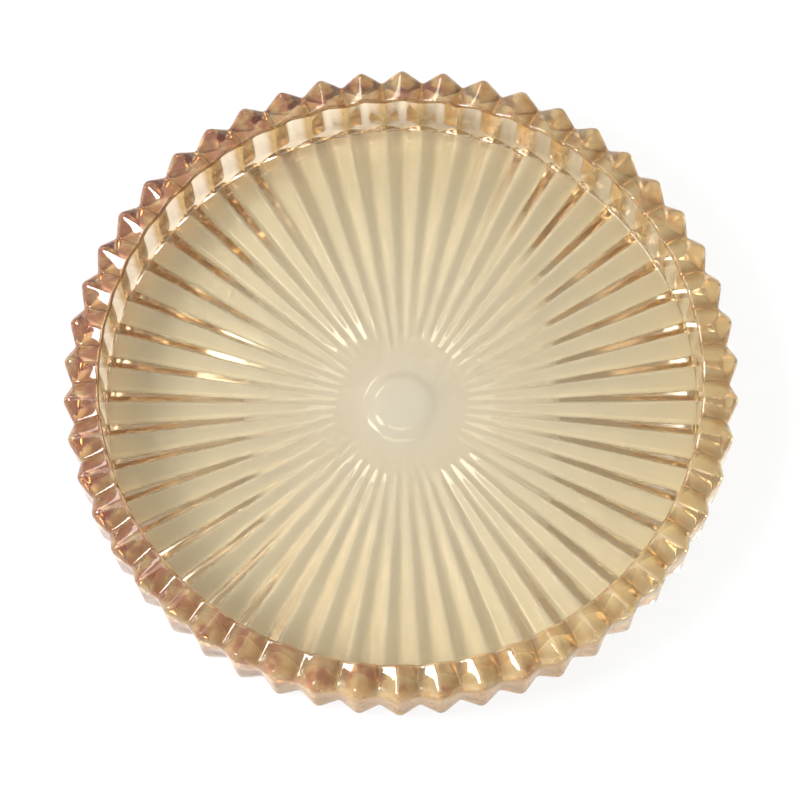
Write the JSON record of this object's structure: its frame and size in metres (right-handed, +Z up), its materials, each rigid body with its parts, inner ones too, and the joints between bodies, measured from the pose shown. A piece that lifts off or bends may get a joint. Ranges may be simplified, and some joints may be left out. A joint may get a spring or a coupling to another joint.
{
  "type": "candle plate",
  "caption": "Round shallow candle plate in pale amber pressed glass: smooth dish inside, fluted wall with a gabled rim, ribbed underside, lustre coat on the wall.",
  "frame": {"origin": "centre of the plane that the plate stands on", "axes": "+Z up along the plate's axis of symmetry, +X through the crest of a flute"},
  "size_m": [0.1202, 0.12, 0.0151],
  "materials": {
    "amber_glass": "pale amber pressed glass, fire-polished",
    "lustre": "thin fired-on lustre, amber to pink with yellow-green glints"
  },
  "bodies": {
    "root": {"pressed_glass_plate": "amber_glass", "lustre_coat": "lustre"}
  },
  "joints": []
}
